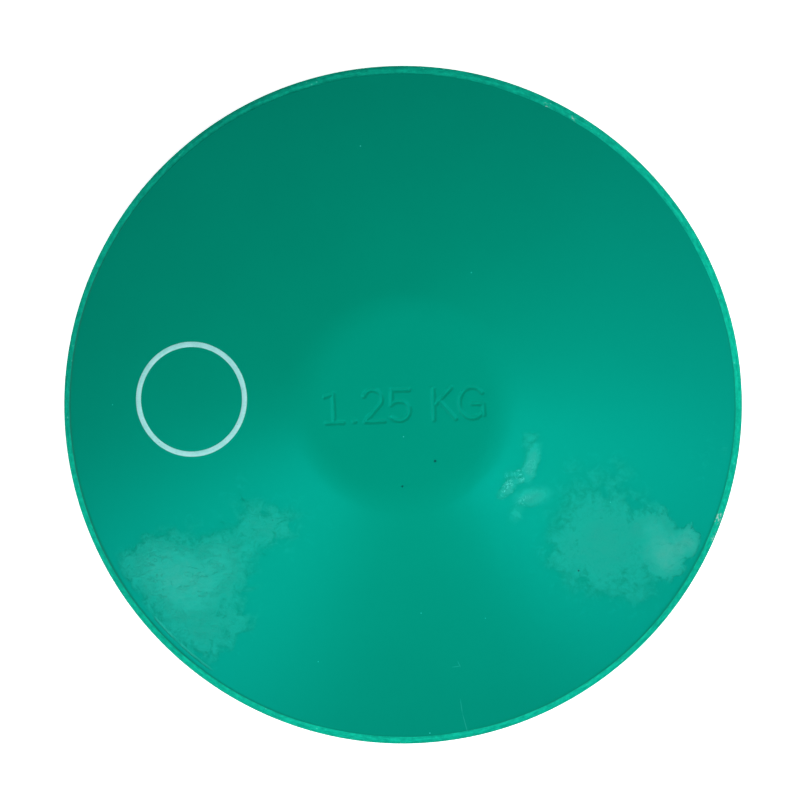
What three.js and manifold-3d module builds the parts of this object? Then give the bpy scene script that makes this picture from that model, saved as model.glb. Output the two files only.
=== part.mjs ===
// Rubber practice discus of 1.25 kg, in millimetres with +Z up.
// Two moulded rubber halves meet in the mid-plane. They hold a perforated steel weight plate,
// and the ground seam band closes them at the rim.
// The origin is the centre of the lower flat, on the surface that the discus lies on.

import * as THREE from "three";
import { mergeVertices, toCreasedNormals } from "three/addons/utils/BufferGeometryUtils.js";
import Module from "manifold-3d";

const wasm = await Module();
wasm.setup();

// Driving dimensions of the outside
const discDiameter = 191;
const centreThickness = 39;
const flatDiameter = 55; // across the corner where the flat and the cone would meet unblended
const blendRadius = 45; // soft blend between the flat and the cone
const rimThickness = 12.7; // from cone to cone, at the gauge inset
const rimGaugeInset = 6; // from the outer edge inwards
const rimRoundRadius = 5.2; // round of the moulded rim, above and below the seam

// Seam band
const groundDepth = 0.2; // the ground face lies this much below the moulded skin
const seamBandDepth = 5; // from the outer edge inwards
const seamBorderAngle = THREE.MathUtils.degToRad(27); // how far the round has turned from level at the border

// Weight plate
const plateDiameter = 110;
const plateThickness = 4;
const plateChamfer = 0.6;
const centreHoleDiameter = 14;
const bondHoleDiameter = 10;
const bondHoleEdgeLand = 10; // metal between a bonding hole and the plate's edge
const bondHoleCount = 8;

// Fit and cutting
const fitClearance = 0.3; // between round faces; flat faces touch
const cutOverrun = 1;

// Facets
const roundSteps = 96;
const holeSteps = 24;
const blendSteps = 5;
const rimSteps = 5;
const seamSteps = 6; // in each of the band's two rounds
const creaseAngle = THREE.MathUtils.degToRad(25);

// Sizes worked out from the driving ones
const discRadius = discDiameter / 2;
const flatRadius = flatDiameter / 2;
const halfThickness = centreThickness / 2;
const coneAngle = Math.atan2(halfThickness - rimThickness / 2, discRadius - rimGaugeInset - flatRadius);
const edgeRadius = radiusOfEdge();
const groundRadius = edgeRadius - groundDepth;
const rimCentreRadius = discRadius - groundRadius;
const rimCentreHeight = coneHeight(rimCentreRadius) - edgeRadius / Math.cos(coneAngle);
const seamHalfHeight = rimCentreHeight + groundRadius * Math.cos(seamBorderAngle);
const seamBackRadius = discRadius - seamBandDepth;
const plateRadius = plateDiameter / 2;
const plateHalfThickness = plateThickness / 2;
const bondCircleRadius = plateRadius - bondHoleEdgeLand - bondHoleDiameter / 2;

const rubberMaterial = new THREE.MeshStandardMaterial({ color: 0x00967d, roughness: 0.42, metalness: 0 });
const groundRubberMaterial = new THREE.MeshStandardMaterial({ color: 0x0cb094, roughness: 0.85, metalness: 0 });
const steelMaterial = new THREE.MeshStandardMaterial({ color: 0x8c9196, roughness: 0.45, metalness: 1 });

// Height of the cone over the mid-plane. It starts at the flat's corner.
function coneHeight(radius) {
  return halfThickness - (radius - flatRadius) * Math.tan(coneAngle);
}

// The rim's round touches the cone and the moulded outer edge. In a thin rim the two rounds meet
// on the mid-plane, and their radius is no larger than that.
function radiusOfEdge() {
  const heightAtEdge = coneHeight(discRadius + groundDepth);
  const fullRound = heightAtEdge / (1 / Math.cos(coneAngle) - Math.tan(coneAngle));
  return Math.min(rimRoundRadius, fullRound);
}

// Points of an arc in the (radius, height) plane; the angles are measured from straight up, outwards.
function arcPoints(centreX, centreY, radius, startAngle, endAngle, steps) {
  const points = [];
  for (let i = 0; i <= steps; i += 1) {
    const angle = startAngle + ((endAngle - startAngle) * i) / steps;
    points.push(new THREE.Vector2(centreX + radius * Math.sin(angle), centreY + radius * Math.cos(angle)));
  }
  return points;
}

// A closed solid for joining and cutting, from any closed three.js geometry.
function solidFrom(geometry) {
  const bare = geometry.clone();
  bare.deleteAttribute("normal");
  bare.deleteAttribute("uv");
  const merged = mergeVertices(bare);
  const corners = merged.index.array;
  const triangles = [];
  for (let i = 0; i < corners.length; i += 3) {
    const [a, b, c] = [corners[i], corners[i + 1], corners[i + 2]];
    if (a !== b && b !== c && c !== a) triangles.push(a, b, c);
  }
  return new wasm.Manifold(
    new wasm.Mesh({
      numProp: 3,
      vertProperties: new Float32Array(merged.attributes.position.array),
      triVerts: new Uint32Array(triangles),
    })
  );
}

function geometryFrom(solid) {
  const mesh = solid.getMesh();
  const geometry = new THREE.BufferGeometry();
  geometry.setAttribute("position", new THREE.BufferAttribute(new Float32Array(mesh.vertProperties), 3));
  geometry.setIndex(new THREE.BufferAttribute(new Uint32Array(mesh.triVerts), 1));
  return toCreasedNormals(geometry, creaseAngle);
}

// A solid of revolution about Z from a profile in the (radius, height) plane.
function turnedSolid(profile) {
  const geometry = new THREE.LatheGeometry(profile, roundSteps);
  geometry.rotateX(Math.PI / 2);
  return solidFrom(geometry);
}

// An upright round bar between two heights, for plugs and for hole cutters.
function roundBar(radius, x, y, bottom, top) {
  const geometry = new THREE.CylinderGeometry(radius, radius, top - bottom, holeSteps);
  geometry.rotateX(Math.PI / 2);
  geometry.translate(x, y, (bottom + top) / 2);
  return solidFrom(geometry);
}

// Centres of the bonding holes, and of the plugs that fill them.
function bondCentres() {
  const centres = [];
  for (let i = 0; i < bondHoleCount; i += 1) {
    const angle = (2 * Math.PI * i) / bondHoleCount;
    centres.push(new THREE.Vector2(bondCircleRadius * Math.cos(angle), bondCircleRadius * Math.sin(angle)));
  }
  return centres;
}

// Outer skin of a half: flat, blend, cone and rim, down to the seam band's border.
function skinProfile() {
  const tangentLength = blendRadius * Math.tan(coneAngle / 2);
  const borderAngle = Math.acos((seamHalfHeight - rimCentreHeight) / edgeRadius);
  return [
    new THREE.Vector2(0, halfThickness),
    ...arcPoints(flatRadius - tangentLength, halfThickness - blendRadius, blendRadius, 0, coneAngle, blendSteps),
    ...arcPoints(rimCentreRadius, rimCentreHeight, edgeRadius, coneAngle, borderAngle, rimSteps),
  ];
}

// A rubber half about the mid-plane, opening downwards, with its plugs hanging through the plate.
function rubberHalf(plugCentres, hasMiddlePlug) {
  const seatRadius = seamBackRadius - fitClearance;
  const recessRadius = plateRadius + fitClearance;
  const profile = [
    ...skinProfile(),
    new THREE.Vector2(seatRadius, seamHalfHeight),
    new THREE.Vector2(seatRadius, 0),
    new THREE.Vector2(recessRadius, 0),
    new THREE.Vector2(recessRadius, plateHalfThickness),
    new THREE.Vector2(0, plateHalfThickness),
  ];
  const plugRoot = plateHalfThickness + cutOverrun;
  let half = turnedSolid(profile.reverse());
  for (const centre of plugCentres) {
    const plugRadius = bondHoleDiameter / 2 - fitClearance;
    half = half.add(roundBar(plugRadius, centre.x, centre.y, -plateHalfThickness, plugRoot));
  }
  if (hasMiddlePlug) {
    const middlePlugRadius = centreHoleDiameter / 2 - fitClearance;
    half = half.add(roundBar(middlePlugRadius, 0, 0, -plateHalfThickness, plugRoot));
  }
  return half;
}

function upperHalf() {
  const plugCentres = bondCentres().filter((centre, i) => i % 2 === 1);
  const mesh = new THREE.Mesh(geometryFrom(rubberHalf(plugCentres, false)), rubberMaterial.clone());
  mesh.name = "upper_half";
  return mesh;
}

// The lower half is turned over about X, which brings its plugs to the even holes again.
function lowerHalf() {
  const plugCentres = bondCentres().filter((centre, i) => i % 2 === 0);
  const mesh = new THREE.Mesh(geometryFrom(rubberHalf(plugCentres, true)), rubberMaterial.clone());
  mesh.name = "lower_half";
  mesh.rotation.x = Math.PI;
  return mesh;
}

// The band fills the seat between the halves; its outer face is the ground rim: two rounds
// with the straight land of the parting line between them.
function seamBand() {
  const equator = Math.PI / 2;
  const lastAngle = Math.PI - seamBorderAngle;
  const profile = [
    new THREE.Vector2(seamBackRadius, seamHalfHeight),
    ...arcPoints(rimCentreRadius, rimCentreHeight, groundRadius, seamBorderAngle, equator, seamSteps),
    ...arcPoints(rimCentreRadius, -rimCentreHeight, groundRadius, equator, lastAngle, seamSteps),
    new THREE.Vector2(seamBackRadius, -seamHalfHeight),
    new THREE.Vector2(seamBackRadius, seamHalfHeight),
  ];
  const mesh = new THREE.Mesh(geometryFrom(turnedSolid(profile.reverse())), groundRubberMaterial.clone());
  mesh.name = "seam_band";
  return mesh;
}

// A flat steel disc with broken edges, a centre hole and a ring of bonding holes.
function weightPlate() {
  const profile = [
    new THREE.Vector2(0, plateHalfThickness),
    new THREE.Vector2(plateRadius - plateChamfer, plateHalfThickness),
    new THREE.Vector2(plateRadius, plateHalfThickness - plateChamfer),
    new THREE.Vector2(plateRadius, plateChamfer - plateHalfThickness),
    new THREE.Vector2(plateRadius - plateChamfer, -plateHalfThickness),
    new THREE.Vector2(0, -plateHalfThickness),
  ];
  const cutTop = plateHalfThickness + cutOverrun;
  let plate = turnedSolid(profile.reverse());
  plate = plate.subtract(roundBar(centreHoleDiameter / 2, 0, 0, -cutTop, cutTop));
  for (const centre of bondCentres()) {
    plate = plate.subtract(roundBar(bondHoleDiameter / 2, centre.x, centre.y, -cutTop, cutTop));
  }
  const mesh = new THREE.Mesh(geometryFrom(plate), steelMaterial.clone());
  mesh.name = "weight_plate";
  return mesh;
}

const discus = new THREE.Group();
discus.add(upperHalf(), lowerHalf(), seamBand(), weightPlate());
discus.position.z = halfThickness;

export default discus;
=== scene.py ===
# A 1.25 kg rubber practice discus, seen square on from above. Metres, +Z up, the lower flat on the floor.
import math
import bpy
import numpy as np
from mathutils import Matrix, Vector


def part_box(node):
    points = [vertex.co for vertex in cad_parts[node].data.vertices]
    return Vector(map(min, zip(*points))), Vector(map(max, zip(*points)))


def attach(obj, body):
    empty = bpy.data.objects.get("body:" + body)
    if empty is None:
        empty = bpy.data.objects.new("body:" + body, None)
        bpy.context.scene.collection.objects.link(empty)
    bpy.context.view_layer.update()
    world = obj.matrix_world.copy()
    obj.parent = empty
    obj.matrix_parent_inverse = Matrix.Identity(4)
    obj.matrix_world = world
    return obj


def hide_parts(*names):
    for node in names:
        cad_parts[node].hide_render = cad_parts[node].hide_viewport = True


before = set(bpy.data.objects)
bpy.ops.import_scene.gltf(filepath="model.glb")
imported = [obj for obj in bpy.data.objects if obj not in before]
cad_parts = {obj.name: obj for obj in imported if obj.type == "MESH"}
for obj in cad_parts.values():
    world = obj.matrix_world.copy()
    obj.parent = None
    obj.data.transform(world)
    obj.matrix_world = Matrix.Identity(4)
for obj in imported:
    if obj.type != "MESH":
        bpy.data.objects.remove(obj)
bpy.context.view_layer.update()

mm = 0.001
fullTurn = 2 * math.pi
scene = bpy.context.scene
scene.view_settings.view_transform = "Standard"

# The sizes that the frame gives, and the few that only the shape needs
bandLow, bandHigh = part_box("seam_band")
plateLow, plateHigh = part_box("weight_plate")

disc = {
    "radius": bandHigh.x,
    "midHeight": (bandLow.z + bandHigh.z) / 2,
    "halfThickness": (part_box("upper_half")[1].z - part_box("lower_half")[0].z) / 2,
    "seamHalfHeight": (bandHigh.z - bandLow.z) / 2,
    "plateRadius": plateHigh.x,
    "plateHalfThickness": (plateHigh.z - plateLow.z) / 2,
    "flatRadius": 27.5 * mm,
    "blendRadius": 45 * mm,
    "rimHalfThickness": 6.35 * mm,  # of the cones, at the gauge inset
    "rimGaugeInset": 6 * mm,
    "rimRoundRadius": 5.2 * mm,
    "groundDepth": 0.2 * mm,
    "crestWidth": 0.8 * mm,  # over which the skin turns down from the cone to the ground border
    "crestTilt": math.radians(44),  # of the skin at the border
    "crestLift": 0.19 * mm,  # of the skin's edge over the rim's round
    "seamBandDepth": 5 * mm,
    "fitClearance": 0.3 * mm,
    "bondHoleRadius": 5 * mm,
    "centreHoleRadius": 7 * mm,
    "bondCircleRadius": 40 * mm,
    "bondHoleCount": 8,
    "moldWave": 0.035 * mm,  # how far the moulded skin sinks below its true shape
    "moldWaves": (9 * mm, 60 * mm, 14),  # shortest, longest and number of its waves
    "borderWave": 0.13 * mm,  # how far the border of the ground band wanders
    "borderWaves": [3, 5, 9, 17, 31, 58],  # periods round the disc
    "borderLean": 0.175 * mm,  # how much wider it is ground on one side
    "borderLeanTurn": math.radians(54),
    "borderOval": 0.146 * mm,  # and on two opposite sides
    "borderOvalTurn": math.radians(82),
}
rimRound = disc["rimRoundRadius"]
groundRound = rimRound - disc["groundDepth"]
rimCentre = disc["radius"] - groundRound
bandBackRadius = disc["radius"] - disc["seamBandDepth"]
seatRadius = bandBackRadius - disc["fitClearance"]
recessRadius = disc["plateRadius"] + disc["fitClearance"]

coneFall = disc["halfThickness"] - disc["rimHalfThickness"]
coneAngle = math.atan2(coneFall, disc["radius"] - disc["rimGaugeInset"] - disc["flatRadius"])
coneHeightThere = disc["halfThickness"] - (rimCentre - disc["flatRadius"]) * math.tan(coneAngle)
rimCentreHeight = coneHeightThere - rimRound / math.cos(coneAngle)
blendStart = disc["flatRadius"] - disc["blendRadius"] * math.tan(coneAngle / 2)
blendEnd = blendStart + disc["blendRadius"] * math.sin(coneAngle)
rimStart = rimCentre + rimRound * math.sin(coneAngle)

# How close the points of the halves stand
skinMesh = {
    "openRadius": 30 * mm,  # where the rings round the mark have opened into circles
    "openRings": 9,
    "evenRadius": 80 * mm,  # where their points have come to stand evenly round the disc
    "coneStop": 60 * mm,  # a radius on the cone at which the spacing of the rings changes
    "rimLead": 3 * mm,  # how far before the rim's start the close rings begin
    "ringCounts": [3, 10, 5, 5],  # up to the blend's start, its end, the cone stop and the rim's lead
    "leadRings": 5,
    "crestRings": 9,
    "lowerFlatRings": 9,
    "lowerSteps": 720,
    "plugSteps": 32,
    "plugRoot": 0.2 * mm,  # how far a plug reaches into its half
}

# Starts of the random draws
seeds = {"upperSkin": 5, "lowerSkin": 6, "upperBorder": 11, "lowerBorder": 12, "ringOuter": 21,
         "ringInner": 22, "markEdge": 31, "grinding": 41}


# Shapes, each a function on whole arrays

# 0 below low, 1 above high, and 3 t^2 - 2 t^3 between
def smoothStep(low, high, value):
    t = np.clip((value - low) / (high - low), 0, 1)
    return t * t * (3 - 2 * t)


# A sum of sines that closes on itself round the disc: amplitude falls as the wave number rises
def ringNoise(angle, waveNumbers, seed):
    random = np.random.default_rng(seed)
    phases = random.uniform(0, fullTurn, len(waveNumbers))
    numbers = np.asarray(waveNumbers, float)
    weights = 1 / np.sqrt(numbers)
    waves = np.sin(angle[..., None] * numbers + phases) * weights
    return waves.sum(-1) / weights.sum()


# A sum of plane sines over the disc, each with its own direction and length, between 0 and 1
def planeNoise(x, y, shortest, longest, count, seed):
    random = np.random.default_rng(seed)
    lengths = np.geomspace(shortest, longest, count)
    angles = random.uniform(0, math.pi, count)
    phases = random.uniform(0, fullTurn, count)
    along = x[..., None] * np.cos(angles) + y[..., None] * np.sin(angles)
    weights = lengths / lengths.sum()
    return 0.5 + 0.5 * (np.sin(fullTurn * along / lengths + phases) * weights).sum(-1)


# Height over the mid-plane: a level flat, a blending arc and a straight cone
def faceHeight(radius):
    level = disc["halfThickness"] + 0 * radius
    arc = np.sqrt(np.clip(disc["blendRadius"] ** 2 - (radius - blendStart) ** 2, 0, None))
    blend = disc["halfThickness"] - disc["blendRadius"] + arc
    cone = disc["halfThickness"] - (radius - disc["flatRadius"]) * math.tan(coneAngle)
    return np.select([radius <= blendStart, radius <= blendEnd], [level, blend], cone)


# The moulded skin sinks a little, in long soft waves, and not at all near the rim's border
def skinSink(x, y, seed):
    fade = 1 - smoothStep(rimStart, disc["radius"], np.hypot(x, y))
    return disc["moldWave"] * planeNoise(x, y, *disc["moldWaves"], seed) * fade


# Height of the ground band's border over the mid-plane: a cosine that leans to one side, one with two
# periods round the disc, and small waves
def borderHeight(angle, seed):
    lean = disc["borderLean"] * np.cos(angle - disc["borderLeanTurn"])
    oval = disc["borderOval"] * np.cos(2 * (angle - disc["borderOvalTurn"]))
    wander = disc["borderWave"] * ringNoise(angle, disc["borderWaves"], seed)
    return disc["seamHalfHeight"] + lean + oval + wander


# Radius of the rim's round at a height over the mid-plane
def rimRadiusAt(height):
    return rimCentre + np.sqrt(rimRound ** 2 - (height - rimCentreHeight) ** 2)


# The skin's crest: radii and heights on a parabola that leaves the cone and comes down to the ground
# border at the crest's tilt
def crestRings(border):
    borderRadius = rimRadiusAt(border)
    startRadius = borderRadius - disc["crestWidth"]
    slopes = math.tan(disc["crestTilt"]) - math.tan(coneAngle)
    edge = np.minimum(border + disc["crestLift"], faceHeight(borderRadius))
    edgeRadius = borderRadius - (faceHeight(borderRadius) - edge) / slopes
    t = np.linspace(0, 1, skinMesh["crestRings"])[:, None]
    first, middle, last = (1 - t) ** 2, 2 * t * (1 - t), t ** 2
    radii = first * startRadius + middle * edgeRadius + last * borderRadius
    heights = first * faceHeight(startRadius) + middle * faceHeight(edgeRadius) + last * edge
    return radii, heights


# Meshes from arrays

# Even angles round the disc
def evenTurns(count):
    return np.linspace(0, fullTurn, count, endpoint=False)


# Rows of x, y and z
def pointRows(x, y, z):
    return np.stack(np.broadcast_arrays(x, y, z), axis=-1).reshape(-1, 3)


# The same from radius, angle and height
def polarRows(radii, angles, heights):
    return pointRows(radii * np.cos(angles), radii * np.sin(angles), heights)


# Points of the moulded skin, lowered by its sink
def skinRows(x, y, heights, seed):
    return pointRows(x, y, heights - skinSink(x, y, seed))


def addObject(name, data):
    made = bpy.data.objects.new(name, data)
    scene.collection.objects.link(made)
    return made


# A mesh whose points are given over the mid-plane, smooth but for edges sharper than an angle
def makePiece(name, points, faces, sharpAngle=50):
    mesh = bpy.data.meshes.new(name)
    mesh.from_pydata((points + [0, 0, disc["midHeight"]]).tolist(), [], faces)
    mesh.validate()
    mesh.shade_smooth()
    mesh.set_sharp_from_angle(angle=math.radians(sharpAngle))
    piece = addObject(name, mesh)
    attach(piece, "root")
    return piece


# Quads between each ring and the next, where a ring is a row of point numbers that closes on itself
def ringFaces(rings):
    nextRings = np.roll(rings, -1, axis=1)
    quads = np.stack([rings[:-1], rings[1:], nextRings[1:], nextRings[:-1]], axis=-1)
    return quads.reshape(-1, 4).tolist()


# Triangles between a ring and one point
def fanFaces(ring, centre):
    return np.stack([ring, np.full(len(ring), centre), np.roll(ring, -1)], axis=-1).tolist()


# Rings of a section that closes on itself: the first one comes again after the last
def sectionRings(points, around):
    rings = np.arange(len(points)).reshape(-1, around)
    return np.vstack([rings, rings[:1]])


# A closed body: rings of points, and one point at each end
def closedPart(ringPoints, steps, firstEnd, lastEnd):
    count = len(ringPoints)
    rings = np.arange(count).reshape(-1, steps)
    faces = ringFaces(rings) + fanFaces(rings[0][::-1], count) + fanFaces(rings[-1], count + 1)
    return np.vstack([ringPoints, firstEnd, lastEnd]), faces


# A solid of revolution about an upright line, from a profile of radii and heights
def turnedPart(profile, centreX, centreY, steps):
    radii, heights = np.asarray(profile, float).T
    rings = polarRows(radii[1:-1, None], evenTurns(steps), heights[1:-1, None]) + [centreX, centreY, 0]
    return closedPart(rings, steps, [centreX, centreY, heights[0]], [centreX, centreY, heights[-1]])


# Joins loose parts into one list of points and one of faces
def joinParts(parts):
    points, faces, count = [], [], 0
    for partPoints, partFaces in parts:
        points.append(partPoints)
        faces += [[corner + count for corner in face] for face in partFaces]
        count += len(partPoints)
    return np.vstack(points), faces


# The weight mark sunk into the upper flat

weightMark = {
    "charHeight": 8.4 * mm,  # between stroke centres
    "grooveWidth": 1.7 * mm,
    "depth": 0.33 * mm,
    "slant": 0.12,  # how much wider, and so gentler, its wall is on the upper side
    "slantTurn": math.radians(-80),  # where the lower side is, from the first character's right
    "left": -19.06 * mm,  # foot of the first character's stem
    "foot": -5.04 * mm,
    "tilt": math.radians(1.95),
    "margin": 1.4 * mm,
    "pitch": 0.12 * mm,  # grid step over the mark
    "arcPoints": 25,
    "handWander": 0.05 * mm,  # unevenness of the hand-cut strokes
    "handWaves": (0.9 * mm, 6 * mm, 9),  # shortest, longest and number of its waves
}

# Strokes in shares of the character height, from the first foot: lines by their ends, arcs by their
# centre, half width, half height, and first and last angle in degrees
markLineShares = [
    (0.00, 0.00, 0.00, 0.95), (-0.28, 0.87, 0.00, 0.95), (-0.26, 0.00, 0.30, 0.00),
    (0.67, 0.02, 0.68, 0.02),
    (1.535, 0.56, 1.03, 0.00), (1.03, 0.00, 1.65, 0.00),
    (2.49, 1.00, 1.93, 1.00), (1.93, 1.00, 1.90, 0.57),
    (3.29, 0.00, 3.29, 1.01), (3.36, 0.50, 3.87, 1.02), (3.49, 0.62, 4.00, 0.00),
    (4.56, 0.48, 4.93, 0.47), (4.93, 0.47, 4.93, 0.10),
]
markArcShares = [
    (1.29, 0.73, 0.30, 0.30, 160, -35),
    (2.15, 0.32, 0.34, 0.32, 138, -146),
    (4.56, 0.51, 0.42, 0.51, 38, 318),
]


# Starts and ends of all straight strokes, an arc being a chain of short ones
def markSegments():
    lines = np.asarray(markLineShares)
    starts, ends = [lines[:, :2]], [lines[:, 2:]]
    for centreX, centreY, halfWidth, halfHeight, first, last in markArcShares:
        turn = np.radians(np.linspace(first, last, weightMark["arcPoints"]))
        x, y = centreX + halfWidth * np.cos(turn), centreY + halfHeight * np.sin(turn)
        points = np.stack([x, y], axis=-1)
        starts.append(points[:-1])
        ends.append(points[1:])
    height = weightMark["charHeight"]
    return np.vstack(starts) * height, np.vstack(ends) * height


# Depth of the groove at points (along, up) on the mark's own axes: (1 - s^2)^2, where s is the distance
# to the nearest stroke as a share of the groove's half width, which changes with the side
def grooveDepth(along, up):
    starts, ends = markSegments()
    points = np.stack([along, up], axis=-1)[..., None, :]
    spans = ends - starts
    shares = ((points - starts) * spans).sum(-1) / np.maximum((spans ** 2).sum(-1), 1e-12)
    away = points - starts - np.clip(shares, 0, 1)[..., None] * spans
    distances = np.sqrt((away ** 2).sum(-1))
    nearest = distances.argmin(-1)[..., None]
    distance = np.take_along_axis(distances, nearest, -1)[..., 0]
    away = np.take_along_axis(away, nearest[..., None], -2)[..., 0, :]
    wander = planeNoise(along, up, *weightMark["handWaves"], seeds["markEdge"]) - 0.5
    distance = distance + 2 * weightMark["handWander"] * wander
    lowerness = away @ [math.cos(weightMark["slantTurn"]), math.sin(weightMark["slantTurn"])]
    lowerness = np.clip(lowerness / np.maximum(distance, 1e-9), -1, 1)
    halfWidth = weightMark["grooveWidth"] / 2 * (1 - weightMark["slant"] * lowerness)
    share = np.clip(distance / halfWidth, 0, 1)
    return weightMark["depth"] * (1 - share ** 2) ** 2


# From the mark's own axes to the disc's: turned by the tilt and moved to the first foot
def markToDisc(along, up):
    c, s = math.cos(weightMark["tilt"]), math.sin(weightMark["tilt"])
    return weightMark["left"] + c * along - s * up, weightMark["foot"] + s * along + c * up


# The two rubber halves

# Radii and heights of the rings of a half's skin outside a start radius: even steps along the face, and
# the crest down to the border
def skinRings(startRadius, border):
    crestRadii, crestHeights = crestRings(border)
    lead = rimStart - skinMesh["rimLead"]
    stops = np.maximum([startRadius, blendStart, blendEnd, skinMesh["coneStop"], lead], startRadius)
    spans = zip(stops, stops[1:], skinMesh["ringCounts"])
    radii = [np.linspace(low, high, count, endpoint=False) for low, high, count in spans if high > low]
    radii = np.concatenate(radii)[1:, None] + 0 * border
    last = np.linspace(0, 1, skinMesh["leadRings"], endpoint=False)[:, None]
    radii = np.vstack([radii, lead + (crestRadii[0] - lead) * last, crestRadii])
    heights = faceHeight(radii)
    heights[-len(crestHeights):] = crestHeights
    return radii, heights


# The rings inside a half: the seat of the band, the mid-plane face and the recess for the plate
def insideRows(angles, border):
    flat = 0 * angles
    radii = np.array([seatRadius, seatRadius, recessRadius, recessRadius])[:, None]
    heights = np.stack([border, flat, flat, flat + disc["plateHalfThickness"]])
    return polarRows(radii, angles, heights)


# Rubber that fills the plate's holes, from the recess's roof down to the other half
def plugParts(numbers, hasMiddlePlug):
    places = []
    for number in numbers:
        angle = fullTurn * number / disc["bondHoleCount"]
        x, y = disc["bondCircleRadius"] * math.cos(angle), disc["bondCircleRadius"] * math.sin(angle)
        places.append((x, y, disc["bondHoleRadius"] - disc["fitClearance"]))
    if hasMiddlePlug:
        places.append((0, 0, disc["centreHoleRadius"] - disc["fitClearance"]))
    reach = disc["plateHalfThickness"]
    root = reach + skinMesh["plugRoot"]
    parts = []
    for x, y, radius in places:
        profile = [(0, root), (radius, root), (radius, -reach), (0, -reach)]
        parts.append(turnedPart(profile, x, y, skinMesh["plugSteps"]))
    return parts


# Upper half: a fine tilted grid over the mark, whose outline opens ring by ring into the round face
def upperHalfPart():
    corners = np.vstack(markSegments())
    low, high = corners.min(0) - weightMark["margin"], corners.max(0) + weightMark["margin"]
    columns, rows = np.ceil((high - low) / weightMark["pitch"]).astype(int) + 1
    along, up = np.meshgrid(np.linspace(low[0], high[0], columns), np.linspace(low[1], high[1], rows))
    x, y = markToDisc(along, up)
    patch = skinRows(x, y, faceHeight(np.hypot(x, y)), seeds["upperSkin"])
    patch[:, 2] -= grooveDepth(along, up).ravel()
    grid = np.arange(rows * columns).reshape(rows, columns)
    patchFaces = np.stack([grid[:-1, :-1], grid[:-1, 1:], grid[1:, 1:], grid[1:, :-1]], axis=-1)
    outline = np.concatenate([grid[0, :-1], grid[:-1, -1], grid[-1, :0:-1], grid[:0:-1, 0]])

    outlineX, outlineY = patch[outline, 0], patch[outline, 1]
    count = len(outline)
    trueAngles = np.unwrap(np.arctan2(outlineY, outlineX))
    evenAngles = trueAngles.mean() - math.pi + fullTurn * (np.arange(count) + 0.5) / count
    border = borderHeight(evenAngles, seeds["upperBorder"])

    openRadius = skinMesh["openRadius"]
    shares = np.linspace(0, 1, skinMesh["openRings"])[1:, None]
    openX = outlineX + (openRadius * np.cos(trueAngles) - outlineX) * shares
    openY = outlineY + (openRadius * np.sin(trueAngles) - outlineY) * shares
    radii, heights = skinRings(openRadius, border)
    angles = trueAngles + (evenAngles - trueAngles) * smoothStep(openRadius, skinMesh["evenRadius"], radii)
    skinX, skinY = np.vstack([openX, radii * np.cos(angles)]), np.vstack([openY, radii * np.sin(angles)])
    heights = np.vstack([faceHeight(np.hypot(openX, openY)), heights])
    skin = skinRows(skinX, skinY, heights, seeds["upperSkin"])

    points = np.vstack([patch, skin, insideRows(evenAngles, border), [0, 0, disc["plateHalfThickness"]]])
    rings = np.vstack([outline, np.arange(len(patch), len(points) - 1).reshape(-1, count)])
    faces = patchFaces.reshape(-1, 4).tolist() + ringFaces(rings) + fanFaces(rings[-1], len(points) - 1)
    return joinParts([(points, faces)] + plugParts([1, 3, 5, 7], False))


# Lower half: plain rings from the middle of the face outwards, then turned over
def lowerHalfPart():
    angles = evenTurns(skinMesh["lowerSteps"])
    border = borderHeight(angles, seeds["lowerBorder"])
    flatRadii = np.linspace(0, blendStart, skinMesh["lowerFlatRings"])[1:-1, None] + 0 * angles
    radii, heights = skinRings(flatRadii[-1, 0], border)
    radii, heights = np.vstack([flatRadii, radii]), np.vstack([faceHeight(flatRadii), heights])
    skin = skinRows(radii * np.cos(angles), radii * np.sin(angles), heights, seeds["lowerSkin"])
    rings = np.vstack([skin, insideRows(angles, border)])
    middle = np.zeros(1)
    top = skinRows(middle, middle, faceHeight(middle), seeds["lowerSkin"])
    half = closedPart(rings, len(angles), top, [0, 0, disc["plateHalfThickness"]])
    points, faces = joinParts([half] + plugParts([0, 2, 4, 6], True))
    return points * [1, -1, -1], faces


def makeHalves():
    upper = makePiece("upper_half_rubber", *upperHalfPart())
    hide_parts("upper_half")
    lower = makePiece("lower_half_rubber", *lowerHalfPart())
    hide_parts("lower_half")
    print("halves:", len(upper.data.polygons), "and", len(lower.data.polygons), "faces")
    return upper, lower


# The ground seam band

seamBand = {
    "around": 1500,
    "across": 26,
    "sharpAngle": 60,
    "landTurn": math.radians(8),  # half of the turn over which the parting line's land is crowned
    "edgeFade": 0.12,  # share of the face, at each border, over which the grinding marks fade out
    "grit": 0.05 * mm,  # depth of the grinding marks
    "gritShortest": 0.9 * mm,
    "gritLongest": 5 * mm,
    "gritCount": 26,
    "gritSlant": 9,  # how far at most a mark's phase runs on across the face, in radians per radian
}


# Grinding marks, mostly between 0 and 1: sines that run round the rim and a little across it
def grindMarks(angle, across):
    random = np.random.default_rng(seeds["grinding"])
    count, slant = seamBand["gritCount"], seamBand["gritSlant"]
    lengths = np.geomspace(seamBand["gritShortest"], seamBand["gritLongest"], count)
    numbers = np.round(fullTurn * disc["radius"] / lengths)
    slants = random.uniform(-slant, slant, count)
    phases = random.uniform(0, fullTurn, count)
    marks = np.sin(angle[..., None] * numbers + across[..., None] * slants + phases)
    return 0.5 + 0.5 * marks.mean(-1) * math.sqrt(count) / 3


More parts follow.
